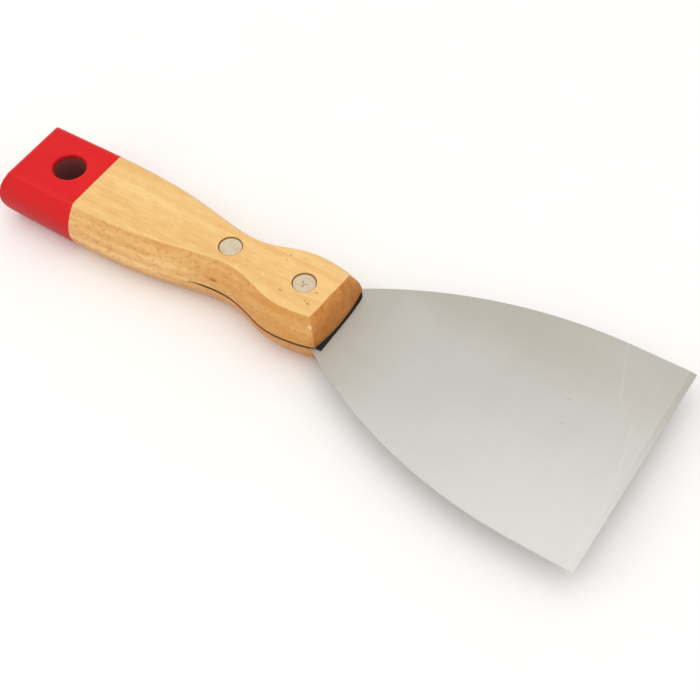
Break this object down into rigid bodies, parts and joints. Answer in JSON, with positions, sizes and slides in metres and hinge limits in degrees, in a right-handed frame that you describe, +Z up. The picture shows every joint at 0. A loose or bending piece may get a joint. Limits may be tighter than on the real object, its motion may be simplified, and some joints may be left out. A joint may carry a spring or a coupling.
{
  "type": "putty knife",
  "caption": "Flexible putty knife: wide flaring thin steel blade, shaped wooden handle with a red dipped end and a hang hole, fixed by rivets.",
  "frame": {"origin": "on the surface the handle lies on, under the middle of the knife's length and width", "axes": "+X from the butt of the handle to the working edge, +Y across the blade, +Z up, square to the blade"},
  "size_m": [0.229, 0.08, 0.0206],
  "materials": {
    "handle_wood": "pale beech, clear satin lacquer",
    "red_dip": "red dipped film, low gloss",
    "blade_steel": "satin spring steel, faint grinding lines",
    "liner_fibre": "dark pressed fibre",
    "rivet_metal": "matt aluminium"
  },
  "bodies": {
    "handle": {"handle": "handle_wood", "red_end_dip": "red_dip", "blade_root": "blade_steel", "liner_upper": "liner_fibre", "liner_lower": "liner_fibre", "rivet_front_pin": "rivet_metal", "rivet_front_sleeve": "rivet_metal", "rivet_rear_pin": "rivet_metal", "rivet_rear_sleeve": "rivet_metal"},
    "blade": {"blade_leaf": "blade_steel"}
  },
  "joints": [
    {"name": "blade_flex", "type": "hinge", "parent": "handle", "child": "blade", "pos_m": [0.027, 0, 0.0103], "axis": [0, -1, 0], "range_deg": [-20, 20], "stiffness_Nm_per_rad": 3.5}
  ]
}
